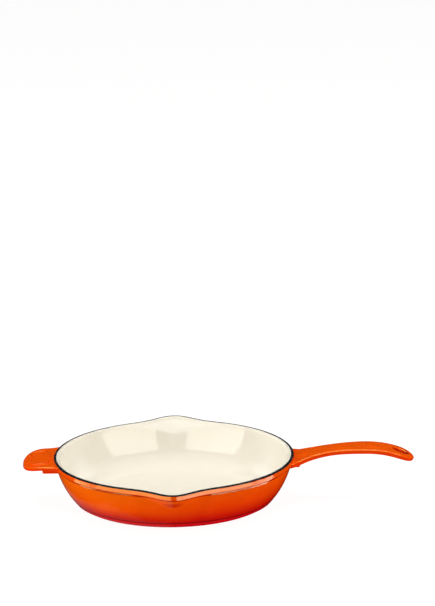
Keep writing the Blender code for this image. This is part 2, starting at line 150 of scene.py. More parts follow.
# The helper handle, in metres outwards from the axis.
HELPER_START = 0.1330
HELPER_HALF_WIDTH = 0.0365
HELPER_THICKNESS = 0.0048
HELPER_DROOP = 0.0050
HELPER_DROOP_START = 0.1500
HELPER_DROOP_POWER = 1.8
HELPER_ROUND_POWER = 2.5
HELPER_ROOT = 0.1350
HELPER_FLARE = 0.0050
HELPER_FLARE_LENGTH = 0.0100
HELPER_EDGE = 0.0018
PANEL_START = 0.1435
PANEL_END = 0.1680
PANEL_HALF_WIDTH = 0.0250
PANEL_RISE = 0.0011
PANEL_EDGE = 0.0005
PANEL_BORDER = 0.0022
PANEL_RECESS = 0.0005
PANEL_ROUND_POWER = 6.0
PANEL_ROUND_ROOT = 0.3
PANEL_END_SHARE = 0.02

# How nearly the rounded edges close at the end of a handle, and at the ends of the panel.
HANDLE_END_CLOSED = 0.999
PANEL_END_CLOSED = 0.98

# How far out from the axis the hidden ends of the handles and lugs stay, inside the wall's thickness.
HANDLE_HIDDEN_END = 0.1362
LUG_HIDDEN_END = 0.1340

# The lugs: where they start, how round they are, and how far they reach up into the handles.
LUG_START = 0.1310
LUG_ROUND = 0.0017
LUG_RAISED = 0.0010

# Fineness of the meshes, the radius of the innermost ring, and the angle above which a corner is sharp.
STATIONS = 720
CENTRE_RING = 0.0040
SHARP_CORNER = math.radians(50.0)

# The camera looks down a slope of 17.5 degrees. The middle of its picture is a little right of the bowl's
# axis and well above the pan. Across and up are in the picture's own directions, in metres.
VIEW_RIGHT = Vector((0.99982, 0.00319, -0.01864))
VIEW_UP = Vector((0.01682, 0.30090, 0.95351))
VIEW_MIDDLE = (0.0499, 0.2277)
VIEW_HEIGHT = 0.7038736
VIEW_DISTANCE = 10.0
SENSOR = 36.0

# How far off the upright light panels stand.
PANEL_DISTANCE = 1.5


# ---------------------------------------------------------------- mesh helpers


def skin(name, rows, first_cap=False, last_cap=False, joined=False):
    """A mesh over rows of points that all have as many points and each close on themselves."""
    rows = [np.asarray(row, float) for row in rows]
    count = len(rows[0])
    points = np.concatenate(rows)
    faces = []
    pairs = [(i, i + 1) for i in range(len(rows) - 1)]
    if joined:
        pairs.append((len(rows) - 1, 0))
    for one, two in pairs:
        for i in range(count):
            j = (i + 1) % count
            faces.append((one * count + i, two * count + i, two * count + j, one * count + j))
    if first_cap:
        faces.append(tuple(range(count)))
    if last_cap:
        faces.append(tuple(reversed(range((len(rows) - 1) * count, len(rows) * count))))
    mesh = bpy.data.meshes.new(name)
    mesh.from_pydata([tuple(p) for p in points], [], faces)
    outwards(mesh)
    return mesh


def outwards(mesh):
    """Turns every face of a closed mesh to look outwards."""
    work = bmesh.new()
    work.from_mesh(mesh)
    bmesh.ops.recalc_face_normals(work, faces=work.faces)
    work.to_mesh(mesh)
    work.free()


def piece(name, mesh, material, stands_for):
    """A shown piece: it rides on the one body and stands for its CAD node."""
    made = bpy.data.objects.new(name, mesh)
    bpy.context.scene.collection.objects.link(made)
    mesh.materials.clear()
    mesh.materials.append(material)
    mesh.shade_smooth()
    mesh.set_sharp_from_angle(angle=SHARP_CORNER)
    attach(made, "root")
    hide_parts(stands_for)
    return made


def keep_out_of_bowl(mesh, radius):
    """Moves a part's hidden end out to this radius, so that nothing shows through the inside wall."""
    for vertex in mesh.vertices:
        reach = math.hypot(vertex.co.x, vertex.co.y)
        if reach < radius:
            vertex.co.x *= radius / reach
            vertex.co.y *= radius / reach


def cut_mesh(mesh, cutter_mesh):
    """The mesh with a cutter taken out of it."""
    body = bpy.data.objects.new("cut_body", mesh)
    cutter = bpy.data.objects.new("cut_cutter", cutter_mesh)
    for made in (body, cutter):
        bpy.context.scene.collection.objects.link(made)
    boolean = body.modifiers.new("cut", "BOOLEAN")
    boolean.operation = "DIFFERENCE"
    boolean.solver = "EXACT"
    boolean.object = cutter
    graph = bpy.context.evaluated_depsgraph_get()
    result = bpy.data.meshes.new_from_object(body.evaluated_get(graph))
    result.name = mesh.name
    for made in (body, cutter):
        bpy.data.objects.remove(made, do_unlink=True)
    return result


def arc(centre, radius, start, end, steps):
    """Points (radius, z) on an arc from one angle to another, measured from straight down outwards."""
    points = []
    for step in range(steps + 1):
        angle = start + (end - start) * step / steps
        points.append((centre[0] + radius * math.sin(angle), centre[1] - radius * math.cos(angle)))
    return points


def line(start, end, steps):
    """Points from start to end, both of them included."""
    return [
        (start[0] + (end[0] - start[0]) * i / steps, start[1] + (end[1] - start[1]) * i / steps)
        for i in range(steps + 1)
    ]


# ---------------------------------------------------------------- rings round the bowl


def soft_positive(value, blend):
    """The value where it is positive and 0 where it is negative, rounded over a length of blend."""
    return 0.5 * (value + np.hypot(value, blend))


def spout_bulge(angle, fall):
    """How far the outline stands out past its circle, once the spout's channel has dropped by fall."""
    off_axis = np.arctan2(np.abs(np.cos(angle)), np.abs(np.sin(angle)))
    full = SPOUT_REACH * np.exp(-((off_axis / SPOUT_WIDTH) ** 2))
    blend = min(CHANNEL_BLEND, fall)
    return soft_positive(full - fall, blend) - soft_positive(-fall, blend)


def ring(z, radius, fall=0.0):
    """One outline round the pan: the rim's outline with its spouts, moved inwards to this radius."""
    angle = np.linspace(0.0, 2 * math.pi, STATIONS, endpoint=False)
    tiny = 1e-4
    reach = RIM_RADIUS + spout_bulge(angle, fall)
    slope = (spout_bulge(angle + tiny, fall) - spout_bulge(angle - tiny, fall)) / (2 * tiny)
    outward = np.stack([np.cos(angle), np.sin(angle)], axis=1)
    around = np.stack([-np.sin(angle), np.cos(angle)], axis=1)
    normal = reach[:, None] * outward - slope[:, None] * around
    normal /= np.linalg.norm(normal, axis=1)[:, None]
    flat = reach[:, None] * outward - (RIM_RADIUS - radius) * normal
    return np.column_stack([flat, np.full(len(flat), z)])


def inner_ring(z, radius):
    """A ring of the inside wall, where the spout's channel runs down from the lip."""
    top = HEIGHT - INNER_LIP_ROUND
    return ring(z, radius, max(0.0, CHANNEL_FALL_INSIDE * (top - z)))


def outer_ring(z, radius):
    """A ring of the outside wall, where the swelling under the spout dies away downwards."""
    return ring(z, radius, max(0.0, CHANNEL_FALL_OUTSIDE * (WALL_TOP - z)))


def moved_inwards(rows, distance):
    """The same rings, moved against the surface's normal."""
    moved = []
    for row, points in enumerate(rows):
        along = rows[min(row + 1, len(rows) - 1)] - rows[max(row - 1, 0)]
        around = np.roll(points, -1, axis=0) - np.roll(points, 1, axis=0)
        normal = np.cross(along, around)
        normal /= np.maximum(np.linalg.norm(normal, axis=1), 1e-12)[:, None]
        moved.append(points - distance * normal)
    return moved


# ---------------------------------------------------------------- the bowl's pieces


def wall_radius(z, arc_radius):
    """The radius at a height on the arc that the wall's section follows."""
    centre_radius, centre_z = WALL_ARC_CENTRE
    return centre_radius + math.sqrt(arc_radius**2 - (centre_z - z) ** 2)


def interior_profile():
    """The cream surface in section: floor, corner, wall, and over the lip to the dark edge."""
    inner_arc = WALL_ARC_RADIUS - WALL
    rise = WALL_ARC_CENTRE[1] - FLOOR_TOP - INNER_CORNER_RADIUS
    apart = inner_arc - INNER_CORNER_RADIUS
    lean = math.asin(rise / apart)
    centre = (WALL_ARC_CENTRE[0] + apart * math.cos(lean), FLOOR_TOP + INNER_CORNER_RADIUS)
    before_corner = 0.002
    profile = line((CENTRE_RING, FLOOR_TOP), (centre[0] - before_corner, FLOOR_TOP), 12)
    profile += arc(centre, INNER_CORNER_RADIUS, 0.0, math.pi / 2 - lean, 26)
    corner_top = profile[-1][1]
    wall_top = HEIGHT - INNER_LIP_ROUND
    steps = 26
    for step in range(1, steps + 1):
        z = corner_top + (wall_top - corner_top) * step / steps
        profile.append((wall_radius(z, inner_arc), z))
    lip_centre = wall_radius(wall_top, inner_arc) + INNER_LIP_ROUND
    lip_steps = 8
    for step in range(1, lip_steps + 1):
        turned = 0.5 * math.pi * step / lip_steps
        radius = lip_centre - INNER_LIP_ROUND * math.cos(turned)
        profile.append((radius, wall_top + INNER_LIP_ROUND * math.sin(turned)))
    return profile


def add_interior(material):
    """The cream coat, from the middle of the floor to the dark edge on the lip."""
    rows = [inner_ring(z, radius) for radius, z in interior_profile()]
    lip_end = RIM_RADIUS - EDGE_WIDTH
    rows.append(inner_ring(HEIGHT, lip_end))
    back = moved_inwards(rows, COAT)
    rows += list(reversed(back))
    mesh = skin("pan_interior", rows, first_cap=True, last_cap=True)
    return piece("pan_interior", mesh, material, "interior_enamel")


def exterior_wall_radius(z):
    """The outer wall, drawn in a little just under the collar band, with a fine groove above the foot."""
    under = max(0.0, 1 - (WALL_TOP - z) / SHOULDER_DEPTH)
    groove = GROOVE_DEPTH * math.exp(-(((z - GROOVE_HEIGHT) / GROOVE_HALF_WIDTH) ** 2))
    return wall_radius(z, WALL_ARC_RADIUS) - SHOULDER_RELIEF * under**2 - groove


def add_exterior(material):
    """The orange wall from the collar band down to the foot, and its hidden back."""
    rows = []
    steps = 110
    for step in range(steps + 1):
        z = WALL_TOP + (WALL_END - WALL_TOP) * step / steps
        rows.append(outer_ring(z, exterior_wall_radius(z)))
    edge = exterior_wall_radius(WALL_END)
    rows.append(outer_ring(WALL_END - OVERLAP, edge - TUCK))
    rows.append(outer_ring(WALL_END - OVERLAP, edge - WALL_BACK_AT_END))
    back_steps = 11
    for step in range(back_steps + 1):
        z = WALL_END + (WALL_TOP - WALL_END) * step / back_steps
        depth = WALL_BACK if step > 0 else WALL_BACK_AT_FOOT
        rows.append(outer_ring(z, exterior_wall_radius(z) - depth))
    mesh = skin("pan_wall", rows, joined=True)
    return piece("pan_wall", mesh, material, "exterior_enamel")


def add_band(material):
    """The collar band: its face leans in slightly towards the top, and its lower edge is rounded.

    Gives the piece and the radius at the top of its face, where the dark edge starts.
    """
    face_top = EDGE_BOTTOM + EDGE_SHORTENED + OVERLAP
    inner = RIM_RADIUS - BAND_STEP - 2 * OVERLAP
    low_centre = (RIM_RADIUS - BAND_ROUND, BAND_BOTTOM + BAND_ROUND)
    profile = [(inner, BAND_BOTTOM + OVERLAP)]
    profile += arc(low_centre, BAND_ROUND, 0.0, math.pi / 2 + BAND_DRAFT, 8)
    start = profile[-1]
    run = (face_top - start[1]) * math.tan(BAND_DRAFT)
    profile += line(start, (start[0] - run, face_top), 8)[1:]
    profile += [(start[0] - run - TUCK, HEIGHT - TUCK), (inner, HEIGHT - TUCK)]
    mesh = skin("collar_band", [ring(z, radius) for radius, z in profile], joined=True)
    return piece("collar_band", mesh, material, "rim_band"), start[0] - run


def add_rim_edge(material, outer):
    """The near-black line: over the lip's outer corner, from the cream to the top of the band."""
    inner = RIM_RADIUS - EDGE_WIDTH - LIP_OVERLAP
    centre = (outer - LIP_ROUND, HEIGHT - LIP_ROUND)
    profile = [(inner, HEIGHT)]
    profile += arc(centre, LIP_ROUND, math.pi, math.pi / 2, 10)
    bottom = EDGE_BOTTOM + EDGE_SHORTENED
    profile += [(outer, bottom), (outer - COAT, bottom), (outer - COVERED, HEIGHT - EDGE_DEPTH)]
    profile += [(inner, HEIGHT - EDGE_DEPTH)]
    mesh = skin("rim_edge", [ring(z, radius) for radius, z in profile], joined=True)
    return piece("rim_edge", mesh, material, "rim_edge_coat")


def add_iron(material):
    """The bowl's iron, under all of its coats."""
    rows = moved_inwards([inner_ring(z, radius) for radius, z in interior_profile()], COVERED)
    neck = RIM_RADIUS - BAND_STEP - COVERED
    rows.append(ring(HEIGHT - 2 * COVERED, neck))
    rows.append(ring(BAND_BOTTOM, neck))
    steps = 40
    for step in range(steps + 1):
        z = WALL_TOP + (WALL_END - WALL_TOP) * step / steps
        rows.append(outer_ring(z, exterior_wall_radius(z) - IRON_DEPTH))
    rows.append(ring(FOOT_TOP - COVERED, FOOT_FLAT_RADIUS - FOOT_FLAT_INSET, NO_SPOUT))
    rows.append(ring(FOOT_TOP - COVERED, CENTRE_RING, NO_SPOUT))
    mesh = skin("bowl_iron", rows, first_cap=True, last_cap=True)
    return piece("bowl_iron", mesh, material, "bowl_casting")


def add_foot(material):
    """The foot: the flat that the pan stands on, with a rounded edge and a low lip at its top."""
    end = math.acos((FOOT_ROUND - FOOT_TOP) / FOOT_ROUND)
    profile = line((CENTRE_RING, 0.0), (FOOT_FLAT_RADIUS - FOOT_FLAT_INSET, 0.0), 12)
    profile += arc((FOOT_FLAT_RADIUS, FOOT_ROUND), FOOT_ROUND, 0.0, end, 20)
    edge = profile[-1][0]
    profile += [(edge - OVERLAP, FOOT_TOP + FOOT_LIP_EDGE), (edge - FOOT_LIP_RUN, FOOT_TOP + FOOT_LIP)]
    profile += [(edge - FOOT_INSET, FOOT_TOP + FOOT_LIP), (CENTRE_RING, FOOT_COAT)]
    rows = [ring(z, radius, NO_SPOUT) for radius, z in profile]
    mesh = skin("standing_base", rows, first_cap=True, last_cap=True)
    return piece("standing_base", mesh, material, "base_enamel")


# ---------------------------------------------------------------- the handles


def smooth_step(value):
    value = min(max(value, 0.0), 1.0)
    return value * value * (3 - 2 * value)


def rounded_end(share, power=2.0, root=0.47):
    """The share of its width that a handle has left, where share runs from 0 to 1 along its round end."""
    share = min(max(share, 0.0), 1.0)
    return (1 - share**power) ** root


def long_handle_top(x):
    """Height of the arched top face: it leaves the band almost level, peaks, and drops to the tip."""
    if x < HANDLE_ROOT:
        return HANDLE_PEAK_TOP - HANDLE_ROOT_DROP - HANDLE_ROOT_SLOPE * (HANDLE_ROOT - x)
    if x < HANDLE_PEAK:
        share = (HANDLE_PEAK - x) / (HANDLE_PEAK - HANDLE_ROOT)
        return HANDLE_PEAK_TOP - HANDLE_ROOT_DROP * share**HANDLE_ARCH_POWER
    share = (x - HANDLE_PEAK) / (HANDLE_TIP - HANDLE_PEAK)
    return HANDLE_PEAK_TOP - HANDLE_TIP_DROP * share**HANDLE_ARCH_POWER


def long_handle_half_width(x, inset):
    """Half the handle's width: wide at the root, narrow at the neck, wider at the grip, round tip."""
    flare = ROOT_FLARE * math.exp(-(x - HANDLE_ROOT) / ROOT_FLARE_LENGTH)
    width = HANDLE_NECK + min(flare, ROOT_FLARE_MOST)
    width += (HANDLE_GRIP - HANDLE_NECK) * smooth_step((x - GRIP_START) / GRIP_LENGTH)
    end_start = HANDLE_TIP - TIP_ROUNDING
    return (width - inset) * rounded_end((x - end_start) / (TIP_ROUNDING - inset))


def long_handle_thickness(x):
    share = smooth_step((x - HANDLE_THINNING_START) / (HANDLE_TIP - HANDLE_THINNING_START))
    return HANDLE_THICKNESS + (HANDLE_TIP_THICKNESS - HANDLE_THICKNESS) * share


def helper_top(x):
    """Height of the helper's top face, which is level and then droops."""
    share = max(0.0, x - HELPER_DROOP_START) / (HELPER_TIP - HELPER_DROOP_START)
    return HELPER_TOP - HELPER_DROOP * share**HELPER_DROOP_POWER


def helper_half_width(x, inset):
    """Half the helper's width: a little wider at the root, with a broad round end."""
    width = HELPER_HALF_WIDTH + HELPER_FLARE * math.exp(-(x - HELPER_ROOT) / HELPER_FLARE_LENGTH)
    reach = HELPER_TIP - inset - HELPER_DROOP_START
    share = (x - HELPER_DROOP_START) / reach
    return (width - inset) * rounded_end(share, HELPER_ROUND_POWER, 1 / HELPER_ROUND_POWER)


def slab_section(x, half_width, inner_half_width, top, thickness, edge, lost, crown):
    """A section across a handle: a flat top and bottom that bend round to the sides.

    lost is how much of the edge's rounding the end of the handle has already taken up.
    """
    least = 1e-5
    rise = edge - lost
    reach = max(half_width - inner_half_width, least)
    upper, lower = top - edge, top - thickness + edge
    points = []
    flat_steps, turn_steps, side_steps = 14, 8, 3
    for step in range(flat_steps):
        y = inner_half_width * (1 - 2 * step / flat_steps)
        points.append((x, y, upper + rise + crown * ((y / max(half_width, least)) ** 2)))
    edge_crown = crown * (inner_half_width / max(half_width, least)) ** 2
    for step in range(turn_steps):
        turned = 0.5 * math.pi * step / turn_steps
        y = -inner_half_width - reach * math.sin(turned)
        points.append((x, y, upper + (rise + edge_crown) * math.cos(turned)))
    for step in range(side_steps):
        share = step / side_steps
        points.append((x, -half_width, upper + (lower - upper) * share))
    for step in range(turn_steps):
        turned = 0.5 * math.pi * step / turn_steps
        y = -inner_half_width - reach * math.cos(turned)
        points.append((x, y, lower - rise * math.sin(turned)))
    for step in range(flat_steps):
        y = inner_half_width * (2 * step / flat_steps - 1)
        points.append((x, y, lower - rise))
    for step in range(turn_steps):
        turned = 0.5 * math.pi * step / turn_steps
        y = inner_half_width + reach * math.sin(turned)
        points.append((x, y, lower - rise * math.cos(turned)))
    for step in range(side_steps):
        share = step / side_steps
        points.append((x, half_width, lower + (upper - lower) * share))
    for step in range(turn_steps):
        turned = 0.5 * math.pi * step / turn_steps
        y = inner_half_width + reach * math.cos(turned)
        points.append((x, y, upper + (rise + edge_crown) * math.sin(turned)))
    return points


def handle_stations(start, straight_end, tip, plain, rounding):
    """Positions along a handle: even along its length, then closer together round its end."""
    stations = [start + (straight_end - start) * i / plain for i in range(plain)]
    for step in range(rounding + 1):
        turned = math.sin(0.5 * math.pi * step / rounding)
        stations.append(straight_end + (tip - straight_end) * turned)
    return stations


def slab_handle(name, stations, tip, half_width, top, thickness, edge, crown):
    """A handle's solid from its outline, its top line and its thickness, with every edge rounded."""
    rows = []
    least = 1e-4
    for x in stations:
        outer = max(half_width(x, 0.0), least)
        inner = half_width(x, edge) if x < tip - edge else 0.0
        into_end = max(0.0, x - (tip - edge))
        lost = edge - math.sqrt(max(edge**2 - into_end**2, 0.0))
        lost *= HANDLE_END_CLOSED
        rows.append(slab_section(x, outer, inner, top(x), thickness(x), edge, lost, crown))
    return skin(name, rows, first_cap=True, last_cap=True)


def long_handle_lean(x):
    """How far the handle's sections are turned past its peak, to be square to the drooping top face."""
    reach = 0.0001
    fall = max(0.0, long_handle_top(x - reach) - long_handle_top(x + reach)) / (2 * reach)
    return math.atan(fall)


def lean_past_peak(mesh):
    """Turns the handle's sections to be square to its top face."""
    for vertex in mesh.vertices:
        x, top = vertex.co.x, long_handle_top(vertex.co.x)
        lean = long_handle_lean(x)
        depth = top - vertex.co.z
        vertex.co.x = x - depth * math.sin(lean)
        vertex.co.z = top - depth * math.cos(lean)


def hole_cutter_mesh():
    """The teardrop hanging hole, square to the handle, with its mouth flared at both faces."""
    half_depth = 0.5 * long_handle_thickness(HOLE_CENTRE)
    straight = half_depth - HOLE_EDGE
    flares = [(0.0, 0.0)]
    flare_rings, degrees_a_ring, points_round = 7, 12.5, 96
    for step in range(flare_rings):
        turned = math.radians(degrees_a_ring * step)
        flares.append((straight + HOLE_EDGE * math.sin(turned), HOLE_EDGE * (1 - math.cos(turned))))
    flares.append((half_depth + HOLE_PAST_FACE, HOLE_EDGE + HOLE_WIDENING))
    levels = [(-depth, flare) for depth, flare in reversed(flares[1:])] + flares
    rows = []
    for depth, flare in levels:
        row = []
        for step in range(points_round):
            angle = 2 * math.pi * step / points_round
            x = math.cos(angle)
            width = HOLE_HALF_WIDTH * (1 + HOLE_TAPER * x) + flare
            row.append(((HOLE_HALF_LENGTH + flare) * x, width * math.sin(angle), depth))
        rows.append(row)
    mesh = skin("hole", rows, first_cap=True, last_cap=True)
    lean = long_handle_lean(HOLE_CENTRE)
    surface = Vector((HOLE_CENTRE, 0.0, long_handle_top(HOLE_CENTRE)))
    inwards = Vector((-math.sin(lean), 0.0, -math.cos(lean)))
    mesh.transform(Matrix.Translation(surface + half_depth * inwards) @ Matrix.Rotation(lean, 4, "Y"))
    return mesh


def add_long_handle(material):
    stations = handle_stations(HANDLE_START, HANDLE_TIP - TIP_ROUNDING, HANDLE_TIP, 120, 48)
    mesh = slab_handle(
        "long_handle",
        stations,
        HANDLE_TIP,
        long_handle_half_width,
        long_handle_top,
        long_handle_thickness,
        HANDLE_EDGE,
        HANDLE_CROWN,
    )
    lean_past_peak(mesh)
    keep_out_of_bowl(mesh, HANDLE_HIDDEN_END)
    mesh = cut_mesh(mesh, hole_cutter_mesh())
    return piece("long_handle", mesh, material, "long_handle_enamel")


def add_helper_handle(material):
    stations = handle_stations(HELPER_START, HELPER_DROOP_START, HELPER_TIP, 24, 64)
    mesh = slab_handle(
        "helper_handle",
        stations,
        HELPER_TIP,
        helper_half_width,
        helper_top,
        lambda x: HELPER_THICKNESS,
        HELPER_EDGE,
        0.0,
    )
    mesh.transform(Matrix.Rotation(math.pi, 4, "Z"))
    keep_out_of_bowl(mesh, HANDLE_HIDDEN_END)
    return piece("helper_handle", mesh, material, "helper_handle_enamel")


def panel_slab(name, border, rise, depth):
    """A slab with the panel's outline less a border, following the droop of the handle's top face."""
    middle = 0.5 * (PANEL_START + PANEL_END)
    half_length = 0.5 * (PANEL_END - PANEL_START) - border
    rows = []
    steps, least = 48, 0.0002
    for step in range(steps + 1):
        along = -math.cos(math.pi * step / steps)
        x = middle + half_length * along
        left = rounded_end(abs(along), PANEL_ROUND_POWER, PANEL_ROUND_ROOT)
        outer = (PANEL_HALF_WIDTH - border) * max(left, PANEL_END_SHARE)
        near_end = half_length * (1 - abs(along))
        lost = PANEL_EDGE - math.sqrt(max(PANEL_EDGE**2 - max(0.0, PANEL_EDGE - near_end) ** 2, 0.0))
        lost *= PANEL_END_CLOSED
        inner = max(outer - PANEL_EDGE, least)
        top = helper_top(x) + rise
        rows.append(slab_section(x, outer, inner, top, depth, PANEL_EDGE, lost, 0.0))
    return skin(name, rows, first_cap=True, last_cap=True)


def add_helper_panel(material):
    """The blank panel in relief on the helper handle: a raised border round a slightly sunk field."""
    recess_height = 0.004
    recess = panel_slab("recess", PANEL_BORDER, PANEL_RISE - PANEL_RECESS + recess_height, recess_height)
    mesh = cut_mesh(panel_slab("helper_panel", 0.0, PANEL_RISE, 2 * PANEL_RISE), recess)
    mesh.transform(Matrix.Rotation(math.pi, 4, "Z"))
    return piece("helper_panel", mesh, material, "helper_handle_panel")


def add_lug(name, node, start, material):
    """The block under a handle's root, with soft edges, running in to the wall."""
    low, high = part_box(node)
    outer = high.x if start > 0 else low.x
    work = bmesh.new()
    bmesh.ops.create_cube(work, size=1.0)
    size = Vector((abs(outer - start), high.y - low.y, high.z - low.z + LUG_RAISED))
    bmesh.ops.scale(work, vec=size, verts=work.verts)
    middle = Vector((0.5 * (start + outer), 0.0, 0.5 * (high.z + low.z + LUG_RAISED)))
    bmesh.ops.translate(work, vec=middle, verts=work.verts)
    bmesh.ops.bevel(work, geom=work.edges[:], offset=LUG_ROUND, segments=5, profile=0.5, affect="EDGES")
    slices = 12
    for step in range(1, slices):
        y = low.y + (high.y - low.y) * step / slices
        everything = work.verts[:] + work.edges[:] + work.faces[:]
        bmesh.ops.bisect_plane(work, geom=everything, plane_co=(0.0, y, 0.0), plane_no=(0.0, 1.0, 0.0))
    mesh = bpy.data.meshes.new(name)
    work.to_mesh(mesh)
    work.free()
    keep_out_of_bowl(mesh, LUG_HIDDEN_END)
    return piece(name, mesh, material, node)


# ---------------------------------------------------------------- materials


def new_material(name):
    material = bpy.data.materials.new(name)
    material.use_nodes = True
    tree = material.node_tree
    return material, tree, tree.nodes["Principled BSDF"]


def axis_of(tree, vector, axis):
    """One axis, X, Y or Z, of a vector."""
    split = tree.nodes.new("ShaderNodeSeparateXYZ")
    tree.links.new(vector, split.inputs["Vector"])
    return split.outputs[axis]


def object_place(tree):
    """Where a point is in the pan's own coordinates, in metres."""
    return tree.nodes.new("ShaderNodeTexCoord").outputs["Object"]


def height(tree):
    return axis_of(tree, object_place(tree), "Z")


def noise(tree, scale, detail):
    """A noise pattern in the pan's own coordinates."""
    texture = tree.nodes.new("ShaderNodeTexNoise")
    texture.inputs["Scale"].default_value = scale
    texture.inputs["Detail"].default_value = detail
    tree.links.new(object_place(tree), texture.inputs["Vector"])
    return texture.outputs["Fac"]


def maths(tree, operation, one, two):
    node = tree.nodes.new("ShaderNodeMath")
    node.operation = operation
    for socket, value in zip(node.inputs, (one, two)):
        if isinstance(value, (int, float)):
            socket.default_value = value
        else:
            tree.links.new(value, socket)
    return node.outputs["Value"]


def ramp(tree, value, low, high, stops):
    """Colours or greys along a value that runs from low to high."""
    spread = tree.nodes.new("ShaderNodeMapRange")
    spread.inputs["From Min"].default_value = low
    spread.inputs["From Max"].default_value = high
    tree.links.new(value, spread.inputs["Value"])
    node = tree.nodes.new("ShaderNodeValToRGB")
    elements = node.color_ramp.elements
    while len(elements) < len(stops):
        elements.new(0.5)
    for element, (place, colour) in zip(elements, stops):
        element.position = place
        element.color = (*colour, 1.0)
    tree.links.new(spread.outputs["Result"], node.inputs["Fac"])
    return node.outputs["Color"]


def mix(tree, factor, one, two, blend="MIX"):
    node = tree.nodes.new("ShaderNodeMix")
    node.data_type = "RGBA"
    node.blend_type = blend
    for socket, value in ((node.inputs["Factor"], factor), (node.inputs["A"], one), (node.inputs["B"], two)):
        if isinstance(value, (int, float)):
            socket.default_value = value
        elif isinstance(value, tuple):
            socket.default_value = (*value, 1.0)
        else:
            tree.links.new(value, socket)
    return node.outputs["Result"]


def bump(tree, shader, layers):
    """Bump from several noise layers, each (scale, depth in metres)."""
    normal = None
    for scale, depth in layers:
        node = tree.nodes.new("ShaderNodeBump")
        node.inputs["Strength"].default_value = 1.0
        node.inputs["Distance"].default_value = depth
        tree.links.new(noise(tree, scale, 1.0), node.inputs["Height"])
        if normal is not None:
            tree.links.new(normal, node.inputs["Normal"])
        normal = node.outputs["Normal"]
    tree.links.new(normal, shader.inputs["Normal"])


def enamel(name, low, high, stops, roughness, peel, ior=1.5, mottle=0.93, shade_lines=(), changes=()):
    """Glossy fired glass: colour by height above the table, uneven gloss, and an orange-peel surface.

    The colour's heights drift up and down a little round the pan, and faint clouds darken it by mottle.
    Each shade line (start, end, colour) is a dark line round the pan, painted shade in a groove or crease.
    Each change (where, colour) turns the colour towards another, or another fade, where a function says.
    """
    material, tree, shader = new_material(name)
    drift, drift_scale, cloud_scale, gloss_scale = 0.006, 28.0, 60.0, 90.0
    swing = maths(tree, "SUBTRACT", noise(tree, drift_scale, 3.0), 0.5)
    uneven = maths(tree, "MULTIPLY", swing, drift)
    level = maths(tree, "ADD", height(tree), uneven)
    colour = ramp(tree, level, low, high, stops)
    for where, other in changes:
        if isinstance(other, list):
            other = ramp(tree, level, low, high, other)
        colour = mix(tree, where(tree), colour, other)
    # Dark lines of painted shade round the pan, where its grooves and creases are in shade.
    for start, end, shade_colour in shade_lines:
        dark, plain = (1.0, 1.0, 1.0), (0.0, 0.0, 0.0)
        place = ramp(tree, height(tree), start, end, [(0.0, plain), (0.3, dark), (0.7, dark), (1.0, plain)])
        colour = mix(tree, place, colour, shade_colour)
    pale = (1.0, 1.0, 1.0)
    cloud = ramp(tree, noise(tree, cloud_scale, 4.0), 0.3, 0.7, [(0.0, (mottle,) * 3), (1.0, pale)])
    tree.links.new(mix(tree, 1.0, colour, cloud, "MULTIPLY"), shader.inputs["Base Color"])
    smooth, dull = (roughness * 0.8,) * 3, (roughness * 1.3,) * 3
    gloss = ramp(tree, noise(tree, gloss_scale, 3.0), 0.3, 0.7, [(0.0, smooth), (1.0, dull)])
    tree.links.new(gloss, shader.inputs["Roughness"])
    shader.inputs["IOR"].default_value = ior
    bump(tree, shader, peel)
    return material


def near_ellipsoid(tree, centre, half_sizes, mirrored=False):
    """The distance from a centre in half-sizes, so 1 is on an ellipsoid. Mirrored adds a twin at -Y."""
    place = object_place(tree)
    if mirrored:
        joined = tree.nodes.new("ShaderNodeCombineXYZ")
        for axis in ("X", "Z"):
            tree.links.new(axis_of(tree, place, axis), joined.inputs[axis])
        tree.links.new(maths(tree, "ABSOLUTE", axis_of(tree, place, "Y"), 0.0), joined.inputs["Y"])
        place = joined.outputs["Vector"]
    for operation, amount in (("SUBTRACT", centre), ("DIVIDE", half_sizes)):
        step = tree.nodes.new("ShaderNodeVectorMath")
        step.operation = operation
        step.inputs[1].default_value = amount
        tree.links.new(place, step.inputs[0])
        place = step.outputs["Vector"]
    length = tree.nodes.new("ShaderNodeVectorMath")
    length.operation = "LENGTH"
    tree.links.new(place, length.inputs[0])
    return length.outputs["Value"]


def shade_under_spouts(tree):
    """Up to three quarters in the hollow under each spout, where the colour is darkened as painted shade."""
    hollow, half_sizes = (0.0, 0.139, 0.0368), (0.013, 0.014, 0.0062)
    away = near_ellipsoid(tree, hollow, half_sizes, mirrored=True)
    return ramp(tree, away, 0.3, 1.1, [(0.0, (0.75,) * 3), (1.0, (0.0,) * 3)])


def painted_light_helper_side(tree):
    """From 0 at the middle of the pan to 1 at the helper handle's side, where painted light brightens the
    orange.
    """
    along = axis_of(tree, object_place(tree), "X")
    return ramp(tree, along, -0.085, 0.03, [(0.0, (1.0,) * 3), (1.0, (0.0,) * 3)])


def sides_and_shade(tree):
    """From 0 on faces that look up to 1 on upright and downward faces: partly redder thin glaze, partly
    painted shade.
    """
    geometry = tree.nodes.new("ShaderNodeNewGeometry")
    upward = axis_of(tree, geometry.outputs["Normal"], "Z")
    return ramp(tree, upward, -0.1, 0.7, [(0.0, (1.0,) * 3), (1.0, (0.0,) * 3)])


def shade_in_hole(tree):
    """1 inside the hanging hole's outline and 0 outside it, where the hole's walls get painted shade."""
    towards_tip, below_peak, half_height = 0.0010, 0.0095, 0.02
    middle = (HOLE_CENTRE + towards_tip, 0.0, HANDLE_PEAK_TOP - below_peak)
    away = near_ellipsoid(tree, middle, (HOLE_HALF_LENGTH, HOLE_HALF_WIDTH, half_height))
    return ramp(tree, away, 0.9, 1.08, [(0.0, (1.0,) * 3), (1.0, (0.0,) * 3)])


